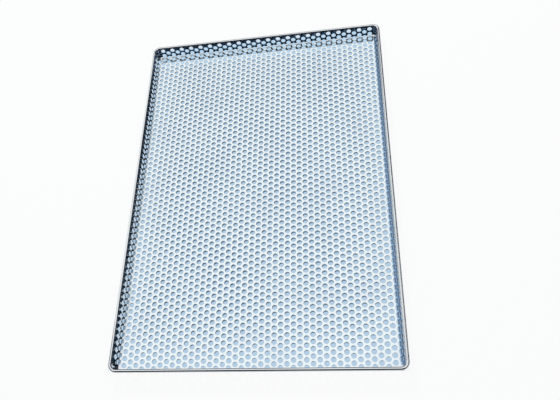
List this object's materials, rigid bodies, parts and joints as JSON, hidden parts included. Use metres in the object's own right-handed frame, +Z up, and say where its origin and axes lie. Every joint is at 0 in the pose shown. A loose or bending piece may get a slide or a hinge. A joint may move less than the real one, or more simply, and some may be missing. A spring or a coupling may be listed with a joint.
{
  "type": "perforated baking tray",
  "caption": "Flat rectangular baking tray of perforated sheet metal with low flared walls, rounded corners and a wired rolled rim, for baking long loaves.",
  "frame": {"origin": "middle of the flat underside, on the surface the tray stands on", "axes": "+Z up out of the tray, +Y along its length, +X across its width to the right of someone facing +Y"},
  "size_m": [0.4, 0.6, 0.02],
  "materials": {
    "tray_sheet": "bright rolled stainless sheet, near mirror, with fine grain and light use marks",
    "rim_wire": "drawn steel wire, hidden in the rolled rim"
  },
  "bodies": {
    "root": {"floor_panel": "tray_sheet", "front_wall": "tray_sheet", "back_wall": "tray_sheet", "left_wall": "tray_sheet", "right_wall": "tray_sheet", "front_left_corner": "tray_sheet", "front_right_corner": "tray_sheet", "back_left_corner": "tray_sheet", "back_right_corner": "tray_sheet", "rim_wire": "rim_wire"}
  },
  "joints": []
}
